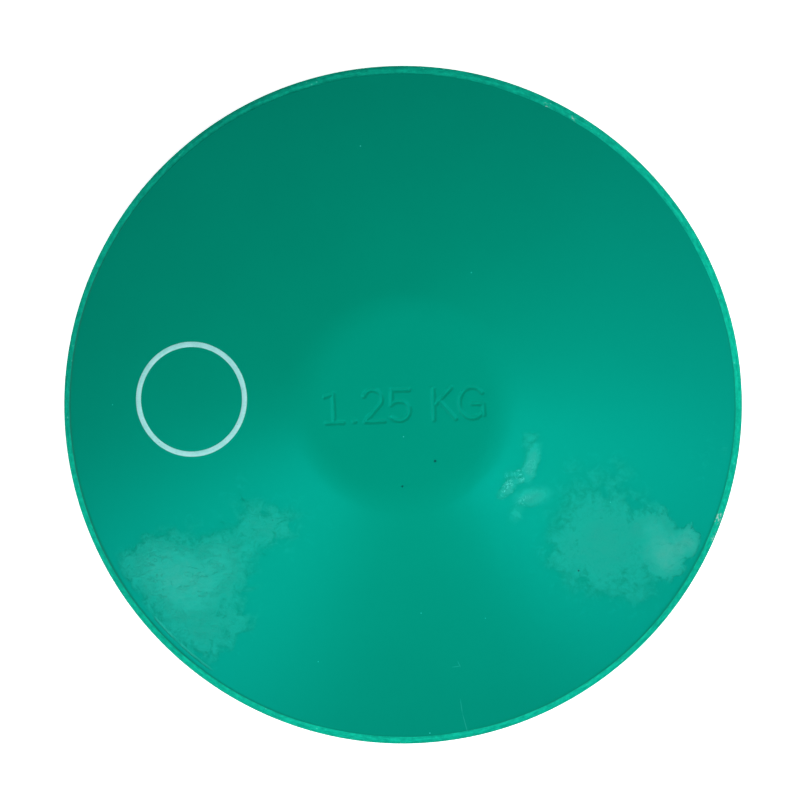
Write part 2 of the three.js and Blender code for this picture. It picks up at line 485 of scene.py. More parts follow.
# Outer face: an arc from one wandering border to the other, whose halves stand apart by the land and
# are lowered by the marks. The back is straight, and the upper and lower faces lie against the halves.
def makeSeamBand():
    angles = evenTurns(seamBand["around"])
    upperBorder = borderHeight(angles, seeds["upperBorder"])
    lowerBorder = borderHeight(-angles, seeds["lowerBorder"])
    firstTurn = np.arcsin((rimCentreHeight - lowerBorder) / groundRound)
    lastTurn = np.arcsin((upperBorder - rimCentreHeight) / groundRound)
    shares = np.linspace(0, 1, seamBand["across"] + 1)[:, None]
    turn = firstTurn + (lastTurn - firstTurn) * shares
    fade = seamBand["edgeFade"]
    depth = seamBand["grit"] * smoothStep(0, fade, shares) * (1 - smoothStep(1 - fade, 1, shares))
    section = groundRound - depth * np.clip(grindMarks(angles + 0 * turn, turn), 0, 1)
    heights = section * np.sin(turn) + rimCentreHeight * np.clip(turn / seamBand["landTurn"], -1, 1)
    heights[0], heights[-1] = -lowerBorder, upperBorder
    back = np.full((2, len(angles)), bandBackRadius)
    radii = np.vstack([rimCentre + section * np.cos(turn), back])
    points = polarRows(radii, angles, np.vstack([heights, upperBorder, -lowerBorder]))
    faces = ringFaces(sectionRings(points, len(angles))[::-1])
    band = makePiece("seam_band_rubber", points, faces, seamBand["sharpAngle"])
    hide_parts("seam_band")
    print("seam band:", len(band.data.polygons), "faces")
    return band


# The printed ring on the upper cone

printedRing = {
    "centreX": -58.88 * mm,
    "centreY": 1.56 * mm,
    "outerRadius": 15.99 * mm,
    "lineWidth": 1.45 * mm,
    "filmHeight": 0.03 * mm,
    "filmSink": 0.03 * mm,
    "sectionShares": [0, 0.05, 0.5, 0.95, 1, 1, 0],  # from the inner line to the outer one
    "sectionLifts": [0, 1, 1, 1, 0, -1, -1],  # in film heights above the face and film sinks below it
    "edgeWander": 0.03 * mm,
    "outerWaves": [3, 7, 12, 19, 33, 51],  # periods round the ring
    "innerWaves": [4, 6, 11, 23, 37, 47],
    "around": 360,
    "sharpAngle": 60,
}


# A flat ring of film laid on the face: a small closed section carried round a circle in the cone's plane
def makePrintedRing():
    angles = evenTurns(printedRing["around"])
    outer, wander = printedRing["outerRadius"], printedRing["edgeWander"]
    inner = outer - printedRing["lineWidth"]
    outerLine = outer + wander * ringNoise(angles, printedRing["outerWaves"], seeds["ringOuter"])
    innerLine = inner + wander * ringNoise(angles, printedRing["innerWaves"], seeds["ringInner"])
    lifts = np.array(printedRing["sectionLifts"])[:, None]
    radii = innerLine + (outerLine - innerLine) * np.array(printedRing["sectionShares"])[:, None]
    x = printedRing["centreX"] + radii * np.cos(angles) * math.cos(coneAngle)
    y = printedRing["centreY"] + radii * np.sin(angles)
    points = skinRows(x, y, faceHeight(np.hypot(x, y)), seeds["upperSkin"])
    film = np.where(lifts > 0, printedRing["filmHeight"], printedRing["filmSink"]) * lifts
    points[:, 2] += (film + 0 * radii).ravel()
    faces = ringFaces(sectionRings(points, len(angles)))
    ring = makePiece("printed_ring", points, faces, printedRing["sharpAngle"])
    print("printed ring:", len(ring.data.polygons), "faces")
    return ring


# Shader helpers

# A node with its settings and inputs: an input that is a socket is linked, and any other is written in
def addNode(tree, kind, values=None, **settings):
    node = tree.nodes.new("ShaderNode" + kind)
    for key, value in settings.items():
        setattr(node, key, value)
    for key, value in (values or {}).items():
        if isinstance(value, bpy.types.NodeSocket):
            tree.links.new(value, node.inputs[key])
        else:
            node.inputs[key].default_value = value
    return node


def mathNode(tree, operation, first, second=0.0, clamp=False):
    return addNode(tree, "Math", {0: first, 1: second}, operation=operation, use_clamp=clamp).outputs[0]


# One operation over several values: the first two, then the result and the next
def foldValues(tree, operation, values):
    result = values[0]
    for value in values[1:]:
        result = mathNode(tree, operation, result, value)
    return result


def times(tree, *values):
    return foldValues(tree, "MULTIPLY", values)


def plus(tree, *values):
    return foldValues(tree, "ADD", values)


def minus(tree, first, second):
    return mathNode(tree, "SUBTRACT", first, second)


# The greatest of several masks
def strongest(tree, masks):
    return foldValues(tree, "MAXIMUM", masks)


# Distances, lengths and dot products give a value, and the other operations a vector
def vectorMath(tree, operation, first, second=(0, 0, 0)):
    values = {0: first, ("Scale" if operation == "SCALE" else 1): second}
    outputs = addNode(tree, "VectorMath", values, operation=operation).outputs
    return outputs["Value" if operation in ("DISTANCE", "LENGTH", "DOT_PRODUCT") else "Vector"]


# The place in plan, its height left out
def planOf(tree, place):
    return vectorMath(tree, "MULTIPLY", place, (1, 1, 0))


# Noise at a place, with its scale in periods to the metre
def noiseAt(tree, place, scale, detail, roughness=0.5, distortion=0.0, output=0):
    values = {"Vector": place, "Scale": scale, "Detail": detail}
    values.update({"Roughness": roughness, "Distortion": distortion})
    return addNode(tree, "TexNoise", values).outputs[output]


# A value taken from one range to another, clamped
def remap(tree, value, low, high, newLow=0.0, newHigh=1.0, smooth=False):
    kind = "SMOOTHSTEP" if smooth else "LINEAR"
    values = {"Value": value, "From Min": low, "From Max": high, "To Min": newLow, "To Max": newHigh}
    return addNode(tree, "MapRange", values, interpolation_type=kind, clamp=True).outputs["Result"]


def mixColor(tree, factor, first, second):
    return addNode(tree, "Mix", {0: factor, 6: first, 7: second}, data_type="RGBA").outputs[2]


# A node group with named sockets: inputs without a number are places, and all others are values
def newGroup(name, inputs, outputs=("Mask",)):
    group = bpy.data.node_groups.new(name, "ShaderNodeTree")
    for label, value in inputs.items():
        kind = "NodeSocketVector" if value is None else "NodeSocketFloat"
        socket = group.interface.new_socket(label, in_out="INPUT", socket_type=kind)
        if value is not None:
            socket.default_value = value
    for label in outputs:
        group.interface.new_socket(label, in_out="OUTPUT", socket_type="NodeSocketFloat")
    start = group.nodes.new("NodeGroupInput")
    end = group.nodes.new("NodeGroupOutput")
    return group, start.outputs, end.inputs


def useGroup(tree, group, values):
    return addNode(tree, "Group", values, node_tree=group).outputs


# The empty node tree of a new material or surround
def emptyTree(owner):
    owner.use_nodes = True
    owner.node_tree.nodes.clear()
    return owner.node_tree


# A material with one shader, the place in object coordinates, and grain at a fine and a broad scale
def newMaterial(name, grainScales, shaderValues):
    material = bpy.data.materials.new(name)
    tree = emptyTree(material)
    shader = addNode(tree, "BsdfPrincipled", shaderValues)
    tree.links.new(shader.outputs[0], addNode(tree, "OutputMaterial").inputs["Surface"])
    place = addNode(tree, "TexCoord").outputs["Object"]
    values = {"Vector": place, "Fine Scale": grainScales[0], "Broad Scale": grainScales[1]}
    return material, tree, shader, place, useGroup(tree, grainGroup, values)


# Links a colour, a roughness and a bump to the shader; the bump's height is in units of its distance
def linkLooks(tree, shader, color, roughness, height, distance=mm, strength=1.0):
    bump = addNode(tree, "Bump", {"Height": height, "Distance": distance, "Strength": strength})
    tree.links.new(color, shader.inputs["Base Color"])
    tree.links.new(roughness, shader.inputs["Roughness"])
    tree.links.new(bump.outputs[0], shader.inputs["Normal"])


# Fine grain that every surface has: an uneven shade and a bump height
def makeGrainGroup():
    inputs = {"Vector": None, "Fine Scale": 1500.0, "Broad Scale": 60.0}
    group, given, made = newGroup("surfaceGrain", inputs, ["Shade", "Height"])
    fine = noiseAt(group, given["Vector"], given["Fine Scale"], 3.0)
    broad = noiseAt(group, given["Vector"], given["Broad Scale"], 4.0)
    group.links.new(plus(group, times(group, broad, 0.7), times(group, fine, 0.3)), made["Shade"])
    group.links.new(fine, made["Height"])
    return group


# A round patch about one place: the distance as a share of the radius, through a smooth step
def makePatchGroup():
    inputs = {"Vector": None, "Place": None, "Radius": 0.01, "Feather": 0.5}
    group, given, made = newGroup("softPatch", inputs)
    reach = vectorMath(group, "DISTANCE", given["Vector"], given["Place"])
    share = mathNode(group, "DIVIDE", reach, given["Radius"])
    full = minus(group, 1.0, given["Feather"])
    group.links.new(remap(group, share, full, 1.0, 1.0, 0.0, smooth=True), made["Mask"])
    return group


# Short winding wrinkles: where one noise crosses its middle value, kept only where a second noise is high
def makeWrinkleGroup():
    group, given, made = newGroup("wrinkles", {"Vector": None, "Scale": 260.0, "Width": 0.03, "Share": 0.4})
    wave = noiseAt(group, given["Vector"], given["Scale"], 2.0, distortion=1.2)
    away = mathNode(group, "ABSOLUTE", minus(group, wave, 0.5))
    line = remap(group, away, 0.0, given["Width"], 1.0, 0.0, smooth=True)
    gate = noiseAt(group, given["Vector"], times(group, given["Scale"], 0.9), 1.0)
    level = minus(group, 0.72, times(group, given["Share"], 0.4))
    kept = remap(group, gate, level, plus(group, level, 0.06), smooth=True)
    group.links.new(times(group, line, kept), made["Mask"])
    return group


# Scattered specks: cells whose own random number passes, and only near the cell's point
def makeSpeckGroup():
    group, given, made = newGroup("specks", {"Vector": None, "Scale": 150.0, "Size": 0.08, "Share": 0.05})
    cells = addNode(group, "TexVoronoi", {"Vector": given["Vector"], "Scale": given["Scale"]}).outputs
    near = remap(group, cells["Distance"], times(group, given["Size"], 0.5), given["Size"], 1.0, 0.0)
    chance = addNode(group, "SeparateColor", {0: cells["Color"]}).outputs[0]
    picked = mathNode(group, "LESS_THAN", chance, given["Share"])
    group.links.new(times(group, near, picked), made["Mask"])
    return group


# A stroke between two places: distance to the segment, with the ends fading out
def makeStrokeGroup():
    group, given, made = newGroup("stroke", {"Vector": None, "From": None, "To": None, "Width": 0.0004})
    span = vectorMath(group, "SUBTRACT", given["To"], given["From"])
    away = vectorMath(group, "SUBTRACT", given["Vector"], given["From"])
    along = vectorMath(group, "DOT_PRODUCT", away, span)
    whole = vectorMath(group, "DOT_PRODUCT", span, span)
    share = mathNode(group, "DIVIDE", along, whole, clamp=True)
    gap = vectorMath(group, "DISTANCE", away, vectorMath(group, "SCALE", span, share))
    line = remap(group, gap, 0.0, given["Width"], 1.0, 0.0, smooth=True)
    middle = mathNode(group, "ABSOLUTE", minus(group, share, 0.5))
    group.links.new(times(group, line, remap(group, middle, 0.25, 0.5, 1.0, 0.35)), made["Mask"])
    return group


grainGroup = makeGrainGroup()
patchGroup = makePatchGroup()
wrinkleGroup = makeWrinkleGroup()
speckGroup = makeSpeckGroup()
strokeGroup = makeStrokeGroup()


def speckMask(tree, place, scale, size, share):
    values = {"Vector": place, "Scale": scale, "Size": size, "Share": share}
    return useGroup(tree, speckGroup, values)["Mask"]


# A patch whose outer share, the feather, fades out
def patchMask(tree, place, centre, radius, feather=0.5):
    values = {"Vector": place, "Place": centre, "Radius": radius, "Feather": feather}
    return useGroup(tree, patchGroup, values)["Mask"]


# A place on the upper face, from millimetres in plan
def onFace(x, y):
    height = float(faceHeight(np.array([math.hypot(x, y) * mm]))[0])
    return (x * mm, y * mm, disc["midHeight"] + height)


# A dot on the upper face, in millimetres, whole within 0.4 of its radius
def dotMask(tree, place, x, y, radius):
    return patchMask(tree, place, onFace(x, y), radius * mm, 0.6)


# A stroke on the upper face, in millimetres
def strokeMask(tree, place, x1, y1, x2, y2, width):
    values = {"Vector": place, "From": onFace(x1, y1), "To": onFace(x2, y2), "Width": width * mm}
    return useGroup(tree, strokeGroup, values)["Mask"]


# The place moved about by noise: each ripple adds twice its reach times the noise less a half
def ripplePlace(tree, place, ripples):
    for scale, reach in ripples:
        noise = noiseAt(tree, place, scale, 3.0, output="Color")
        shift = vectorMath(tree, "SUBTRACT", noise, (0.5, 0.5, 0.5))
        place = vectorMath(tree, "ADD", place, vectorMath(tree, "SCALE", shift, reach * 2))
    return place


# Moulded green rubber

greenRubber = {
    "base": (0.0, 0.2525, 0.1547, 1),
    "mottle": (0.0, 0.243, 0.1483, 1),
    "rimShade": 0.204,  # painted shade: how much darker the skin is made at the rim, for light falling off outwards
    "hazeAndHighlightColor": (0.083, 0.242, 0.174, 1),
    "highlightVeil": (0.0, 0.125, 0.113),  # painted highlight: what even a thin haze adds to the colour
    "highlightVeilLevel": 0.1,  # the haze at which it adds all of it
    # painted highlight: colour of the flecks' glints
    "paintedGlintColor": (0.12, 0.8, 0.73, 1),
    "dustColor": (0.07, 0.72, 0.6, 1),
    # dark colour of the pits, and of the painted shade in the creases
    "pitAndCreaseShadeColor": (0.0, 0.05, 0.038, 1),
    "roughness": 0.36,
    "glossTint": (0.0, 1.0, 0.93, 1),
    "glossLevel": 0.63,
    "grainScales": (1400.0, 38.0),
    "wornLevel": 0.16,  # the haze at which the skin is as worn as it gets
    # heights of the bump in mm
    "grainHeight": 0.003,
    "crumpleHeight": 0.32,
    "creaseDepth": 0.085,
    "fleckHeight": 0.04,
    "pitDepth": 0.3,
    # strengths of the marks in the colour
    "dustShare": 0.8,
    "hairShare": 0.24,
    "creaseShade": 0.08,
    "creaseGap": 0.25,  # how much of the haze is missing in a crease
    "wrinkleShare": 0.65,
    # widths in mm
    "creaseWidth": 0.4,
    "hairWidth": 0.22,
    # ripples fray an outline: noise scale and reach
    "patchRipple": [(60.0, 2.0 * mm), (210.0, 3.0 * mm), (700.0, 1.2 * mm)],
    "scuffRipple": [(420.0, 1.3 * mm)],
    "creaseRipple": [(300.0, 1.2 * mm), (1100.0, 0.5 * mm)],
    "frayLevel": 0.07,  # haze below about this level breaks up
    # soft patches of haze that add up on the upper and on the lower face, those above also a painted
    # highlight: x, y and radius in mm, strength
    "hazeAndHighlightAbove": [(-60, -51, 28, 0.14), (-61, -51, 11, 0.14), (-67, -45, 12, 0.14), (-51, -45, 12, 0.11),
                  (-78, -45, 9, 0.05), (-55, -66, 13, 0.05), (-45, -62, 9, 0.04), (-42, -35, 13, 0.06),
                  (-37, -33, 11, 0.05), (-46, -24, 10, 0.04), (-29, -33, 18, 0.04), (56, -38, 28, 0.13),
                  (73, -42, 8, 0.5), (79.5, -38.5, 6, 0.42), (70, -34, 7, 0.2), (43, -40, 9, 0.02),
                  (49, -18, 14, 0.03), (35, -11, 6, 0.08), (61, -16, 8, 0.03), (67, -54, 11, 0.04),
                  (88, -15, 20, 0.03)],
    "hazeBelow": [(26, 46, 24, 0.06), (-40, -34, 30, 0.07), (58, -8, 20, 0.05), (-30, 62, 18, 0.05)],
    # a painted highlight line at the rim's start: x, y and reach in mm, strength
    "crestHighlight": (-62.3, -66.8, 13.0, 0.24),
    # dots: x, y and radius in mm
    "pits": [(8.8, -15.5, 0.42), (-0.2, -22.5, 0.32), (48.9, -46.2, 0.36)],
    "specks": [(0.1, -8.8, 0.22), (5.0, -57.9, 0.21), (-23.7, -71.7, 0.18), (22.9, -59.4, 0.17),
               (7.5, -92.0, 0.25), (-81.2, 0.0, 0.18), (57.7, -27.1, 0.18), (-11.9, 72.2, 0.24),
               (18.9, 36.6, 0.23)],
    # strokes: from x, y to x, y in mm
    "hairs": [(16.0, -82.3, 16.6, -86.4), (16.6, -86.4, 18.2, -92.2), (13.7, -73.2, 16.0, -72.9),
              (15.2, -71.5, 16.0, -73.2)],
    "creases": [(-65.7, -40.3, -61.5, -40.5), (-60.9, -40.3, -57.6, -40.4), (-60.4, -45.3, -56.8, -45.6),
                (-57.6, -47.0, -53.1, -47.5), (-53.4, -47.0, -50.6, -46.1), (-48.9, -38.3, -44.7, -41.1),
                (-44.7, -41.1, -37.2, -41.4), (-38.6, -32.7, -33.8, -31.3), (-52.6, -34.1, -49.8, -32.7),
                (-52.6, -59.3, -47.0, -59.3), (-52.9, -61.0, -46.7, -61.2), (-51.7, -63.8, -47.5, -64.9),
                (-45.6, -23.5, -43.6, -28.5), (62.4, -23.8, 67.2, -29.2), (69.6, -38.6, 82.0, -39.0),
                (68.2, -43.0, 72.6, -45.8), (72.8, -46.6, 79.4, -42.4), (42.8, -32.2, 45.6, -34.0)],
    # the same with a width in mm, and the strengths of the scuff's haze and of its flecks, painted as glints
    "scuffs": [(27.2, -25.0, 30.4, -21.0, 2.0, 0.22, 1.3), (28.8, -19.4, 33.0, -18.8, 1.3, 0.1, 1.2),
               (30.4, -21.0, 34.2, -20.8, 1.6, 0.15, 0.8), (34.2, -20.4, 36.6, -11.6, 2.7, 0.25, 0.25),
               (32.4, -26.0, 39.3, -24.8, 3.6, 0.2, 0.12), (32.0, -27.2, 35.0, -25.8, 1.9, 0.12, 0.75),
               (31.0, -30.8, 31.8, -29.4, 2.8, 0.14, 0.0)],
}


# Waxy haze, on the upper face also a painted highlight: soft patches that add up, broken by two sizes of
# cloud and gone where the rim turns down
def hazeAndHighlightMask(tree, place, radius):
    rippled = planOf(tree, ripplePlace(tree, planOf(tree, place), greenRubber["patchRipple"]))
    sums = []
    for side in ("hazeAndHighlightAbove", "hazeBelow"):
        total = 0.0
        for x, y, size, strength in greenRubber[side]:
            patch = patchMask(tree, rippled, (x * mm, y * mm, 0), size * mm, 1.0)
            total = plus(tree, total, times(tree, patch, strength))
        sums.append(total)
    height = addNode(tree, "SeparateXYZ", {0: place}).outputs["Z"]
    above = mathNode(tree, "GREATER_THAN", height, disc["midHeight"])
    total = plus(tree, times(tree, sums[0], above), times(tree, sums[1], minus(tree, 1.0, above)))
    broad = noiseAt(tree, place, 270.0, 6.0, roughness=0.65, distortion=0.4)
    fine = noiseAt(tree, place, 560.0, 6.0, roughness=0.75, distortion=0.5)
    level = plus(tree, mathNode(tree, "DIVIDE", total, greenRubber["frayLevel"]), times(tree, broad, 4.0))
    frayed = remap(tree, level, 2.4, 3.4, smooth=True)
    cloud = times(tree, frayed, remap(tree, fine, 0.3, 0.7, 0.6, 1.4))
    fade = remap(tree, radius, rimStart - 0.4 * mm, rimStart + 0.9 * mm, 1.0, 0.0, smooth=True)
    return times(tree, total, cloud, fade)


# The place squeezed along X, which draws a texture out into strokes along it
def stretchedPlace(tree, place):
    return vectorMath(tree, "MULTIPLY", place, (0.6, 1, 1))


# A painted highlight line where the cone ends: nearness to the rim's start, within reach of one place
def crestHighlightMask(tree, place, radius):
    x, y, reach, strength = greenRubber["crestHighlight"]
    away = mathNode(tree, "ABSOLUTE", minus(tree, radius, rimStart - 0.1 * mm))
    line = remap(tree, away, 0.0, 0.5 * mm, 1.0, 0.0, smooth=True)
    patch = patchMask(tree, place, onFace(x, y), reach * mm, 0.35)
    broken = remap(tree, noiseAt(tree, place, 500.0, 3.0), 0.35, 0.6, 0.4, 1.0)
    return times(tree, line, patch, broken, strength)


# Scuffs: soft strokes that add haze, and a fine net of flecks inside them, coloured as painted glints
def scuffMasks(tree, place):
    rippled = ripplePlace(tree, place, greenRubber["scuffRipple"])
    net = noiseAt(tree, place, 800.0, 3.0, distortion=1.5)
    ridge = mathNode(tree, "ABSOLUTE", minus(tree, net, 0.52))
    ridge = remap(tree, ridge, 0.01, 0.05, 1.0, 0.0, smooth=True)
    gate = noiseAt(tree, place, 520.0, 1.0)
    grit = times(tree, ridge, remap(tree, gate, 0.42, 0.6, 0.1, 1.0, smooth=True))
    hazes, glintFlecks = [], []
    for x1, y1, x2, y2, width, hazeStrength, glintStrength in greenRubber["scuffs"]:
        stroke = strokeMask(tree, rippled, x1, y1, x2, y2, width)
        hazes.append(times(tree, stroke, hazeStrength))
        glintFlecks.append(times(tree, stroke, glintStrength))
    return strongest(tree, hazes), times(tree, strongest(tree, glintFlecks), grit)


# Creases: chosen strokes that wander and break off, and short wrinkles wherever the skin is worn
def creaseMask(tree, place, wearAndPaintedLight):
    rippled = ripplePlace(tree, place, greenRubber["creaseRipple"])
    lines = [strokeMask(tree, rippled, *ends, greenRubber["creaseWidth"]) for ends in greenRubber["creases"]]
    gaps = remap(tree, noiseAt(tree, place, 900.0, 2.0), 0.42, 0.56, 0.1, 1.0, smooth=True)
    broken = times(tree, strongest(tree, lines), gaps)
    values = {"Vector": stretchedPlace(tree, place), "Scale": 430.0, "Width": 0.03, "Share": 0.5}
    wrinkle = useGroup(tree, wrinkleGroup, values)["Mask"]
    return strongest(tree, [broken, times(tree, wrinkle, wearAndPaintedLight, greenRubber["wrinkleShare"])])


# Light hairs and specks that lie on the skin
def dustMask(tree, place):
    hairs = [strokeMask(tree, place, *ends, greenRubber["hairWidth"]) for ends in greenRubber["hairs"]]
    specks = [dotMask(tree, place, *speck) for speck in greenRubber["specks"]]
    return strongest(tree, [times(tree, strongest(tree, hairs), greenRubber["hairShare"])] + specks)


def pitMask(tree, place):
    return strongest(tree, [dotMask(tree, place, *pit) for pit in greenRubber["pits"]])


# Base colour: mottled, with painted shade towards the rim, then haze with a painted highlight, flecks
# coloured as painted glints, dust, and pits and painted crease shade mixed in turn
def makeGreenRubber():
    look = greenRubber
    gloss = {"IOR": 1.5, "Specular Tint": look["glossTint"], "Specular IOR Level": look["glossLevel"]}
    material, tree, shader, place, grain = newMaterial("mouldedGreenRubber", look["grainScales"], gloss)
    color = mixColor(tree, remap(tree, grain["Shade"], 0.38, 0.62), look["mottle"], look["base"])
    radius = vectorMath(tree, "LENGTH", planOf(tree, place))
    # painted shade: the colour darkens from the flat to the rim's start, for light falling off outwards
    paintedRimFalloff = remap(tree, radius, disc["flatRadius"], rimStart, 1.0, 1.0 - look["rimShade"])
    color = vectorMath(tree, "SCALE", color, paintedRimFalloff)

    scuffHaze, glintFlecks = scuffMasks(tree, place)
    hazeAndHighlight = strongest(tree, [hazeAndHighlightMask(tree, place, radius), crestHighlightMask(tree, place, radius), scuffHaze])
    wearAndPaintedLight = remap(tree, hazeAndHighlight, 0.01, look["wornLevel"])
    crease = creaseMask(tree, place, wearAndPaintedLight)
    dust, pit = dustMask(tree, place), pitMask(tree, place)
    hazeAndHighlight = times(tree, hazeAndHighlight, minus(tree, 1.0, times(tree, crease, look["creaseGap"])))
    # waxy haze and painted highlight: the whitish haze colour and the veil brighten the skin where the
    # highlights stand
    color = mixColor(tree, hazeAndHighlight, color, look["hazeAndHighlightColor"])
    highlightVeil = vectorMath(tree, "MULTIPLY", remap(tree, hazeAndHighlight, 0.0, look["highlightVeilLevel"]), look["highlightVeil"])
    color = vectorMath(tree, "ADD", color, highlightVeil)
    # painted highlight: the flecks take a bright glint colour
    color = mixColor(tree, glintFlecks, color, look["paintedGlintColor"])
    color = mixColor(tree, times(tree, dust, look["dustShare"]), color, look["dustColor"])
    # painted shade: creases darken towards the pits' colour
    dark = strongest(tree, [pit, times(tree, crease, look["creaseShade"])])
    color = mixColor(tree, dark, color, look["pitAndCreaseShadeColor"])

    roughness = remap(tree, grain["Shade"], 0.3, 0.7, look["roughness"] - 0.01, look["roughness"] + 0.01)
    roughness = plus(tree, roughness, times(tree, wearAndPaintedLight, 0.02), times(tree, glintFlecks, 0.15))

    crumple = noiseAt(tree, stretchedPlace(tree, place), 480.0, 4.0, roughness=0.6)
    raised = plus(tree, times(tree, grain["Height"], look["grainHeight"]),
                  times(tree, crumple, wearAndPaintedLight, look["crumpleHeight"]),
                  times(tree, glintFlecks, look["fleckHeight"]))
    sunk = plus(tree, times(tree, crease, look["creaseDepth"]), times(tree, pit, look["pitDepth"]))
    linkLooks(tree, shader, color, roughness, minus(tree, raised, sunk))
    return material


# Ground rubber of the seam band

groundRubber = {
    "light": (0.007, 0.71, 0.475, 1),
    "dark": (0.003, 0.48, 0.32, 1),
    "glint": (0.08, 0.8, 0.62, 1),
    "roughness": 0.8,
    "grainScales": (2400.0, 700.0),
    "grainHeight": 0.06,  # of the bump, in mm
    "streakHeight": 0.08,
    "borderShade": 0.9,  # share of the colour at the border, darker towards it
    "borderInset": 2.6 * mm,  # how near to the outer edge that shade reaches in full
    "borderFade": 0.9 * mm,  # over which it is gone
    # painted light and shade: places round the band made paler or darker, as more or less light on it would:
    # x, y and size in mm, change of the colour
    "wearAndPaintedLight": [(-81.4, 47.0, 42.0, 0.27), (-90.8, -24.3, 28.0, 0.14), (90.8, 24.3, 45.0, 0.1),
             (66.5, 66.5, 45.0, 0.06), (75.0, -56.6, 38.0, -0.11), (13.0, -93.0, 50.0, -0.07)],
    # whitish spots: x, y, height over the mid-plane and size in mm
    "spots": [(88.4, -32.0, 4.0, 2.0), (87.4, -37.0, 3.2, 1.7), (47.2, 79.8, 4.7, 1.5),
              (40.0, 83.6, 4.6, 1.4)],
    "spotColor": (0.4, 0.74, 0.66, 1),
    "spotRipple": [(900.0, 0.6 * mm)],
}


# Colour: three sizes of streaky grain between dark and light, a shade darker at the border, with painted
# light and shade in patches round the band, glints and a few whitish spots
def makeGroundRubber():
    look = groundRubber
    matt = {"Specular IOR Level": 0.0}
    material, tree, shader, place, grain = newMaterial("groundGreenRubber", look["grainScales"], matt)
    stretched = addNode(tree, "Mapping", {"Vector": place, "Scale": (1.0, 1.0, 5.0)}).outputs[0]
    streaks = noiseAt(tree, stretched, 330.0, 4.0)
    shade = plus(tree, times(tree, grain["Shade"], 0.6), times(tree, streaks, 0.4))
    color = mixColor(tree, remap(tree, shade, 0.4, 0.6), look["dark"], look["light"])
    plan = planOf(tree, place)
    borderRadius = disc["radius"] - look["borderInset"]
    shaded = remap(tree, vectorMath(tree, "LENGTH", plan), borderRadius, borderRadius + look["borderFade"],
                   look["borderShade"], 1.0)
    # painted light and shade: each patch makes the band paler or darker by its change
    for x, y, size, change in look["wearAndPaintedLight"]:
        patch = patchMask(tree, plan, (x * mm, y * mm, 0), size * mm, 1.0)
        shaded = times(tree, shaded, plus(tree, times(tree, patch, change), 1.0))
    color = vectorMath(tree, "SCALE", color, shaded)
    color = mixColor(tree, speckMask(tree, place, 700.0, 0.25, 0.05), color, look["glint"])
    rippled = ripplePlace(tree, place, look["spotRipple"])
    spots = []
    for x, y, height, size in look["spots"]:
        centre = (x * mm, y * mm, disc["midHeight"] + height * mm)
        spots.append(patchMask(tree, rippled, centre, size * mm))
    bits = remap(tree, noiseAt(tree, place, 1300.0, 2.0), 0.5, 0.6, smooth=True)
    color = mixColor(tree, times(tree, strongest(tree, spots), bits), color, look["spotColor"])
    roughness = remap(tree, shade, 0.35, 0.65, look["roughness"] + 0.1, look["roughness"] - 0.08)
    height = plus(tree, times(tree, grain["Height"], look["grainHeight"]),
                  times(tree, streaks, look["streakHeight"]))
    linkLooks(tree, shader, color, roughness, height)
    return material


# Pale ink of the printed ring

paleInk = {
    "ink": (0.4, 0.82, 0.82, 1),
    "thin": (0.29, 0.75, 0.72, 1),
    "pinhole": (0.03, 0.4, 0.3, 1),
    "roughness": 0.5,
    "grainScales": (2600.0, 420.0),
    "grainHeight": 0.015,  # of the bump, in mm
}


# Colour: grain between thin and full ink, with half-bare pinholes
def makePaleInk():
    look = paleInk
    material, tree, shader, place, grain = newMaterial("palePrintInk", look["grainScales"], {"IOR": 1.45})
    color = mixColor(tree, remap(tree, grain["Shade"], 0.36, 0.56), look["thin"], look["ink"])
    holes = times(tree, speckMask(tree, place, 1500.0, 0.3, 0.05), 0.5)
    color = mixColor(tree, holes, color, look["pinhole"])
    roughness = remap(tree, grain["Shade"], 0.3, 0.7, look["roughness"] - 0.06, look["roughness"] + 0.08)
    linkLooks(tree, shader, color, roughness, times(tree, grain["Height"], look["grainHeight"]))
    return material


# Brushed steel of the plate inside

weightSteel = {
    "light": (0.5, 0.51, 0.53, 1),
    "dark": (0.33, 0.34, 0.36, 1),
    "rust": (0.2, 0.09, 0.04, 1),
    "roughness": 0.42,
    "grainScales": (900.0, 30.0),
    "brushDepth": 0.02 * mm,
    "brushStrength": 0.6,
}


# Colour: fine lines along X between dark and light, with rust where the broad grain is high
def makeWeightSteel():
    look = weightSteel
    metal = {"Metallic": 1.0}
    material, tree, shader, place, grain = newMaterial("brushedWeightSteel", look["grainScales"], metal)
    brushed = addNode(tree, "Mapping", {"Vector": place, "Scale": (1.0, 30.0, 1.0)}).outputs[0]
    lines = noiseAt(tree, brushed, 60.0, 5.0)
    color = mixColor(tree, lines, look["dark"], look["light"])
    color = mixColor(tree, remap(tree, grain["Shade"], 0.58, 0.66, 0.0, 0.5), color, look["rust"])
    roughness = remap(tree, lines, 0.3, 0.7, look["roughness"] - 0.1, look["roughness"] + 0.1)
    linkLooks(tree, shader, color, roughness, lines, look["brushDepth"], look["brushStrength"])
    return material


# 1 where the camera sees a surface, straight or in a reflection, and 0 where it only lights something
def seenByRays(tree):
    rays = addNode(tree, "LightPath").outputs
    return strongest(tree, [rays["Is Glossy Ray"], rays["Is Transmission Ray"], rays["Is Camera Ray"]])


# Pale floor: white to the camera, with a faint shadow, and see-through from below, also for the light

floor = {
    "halfSize": 3.0,
    "drop": 0.2 * mm,
    "color": (0.86, 0.86, 0.86, 1),
    "ownLight": 0.87,
}


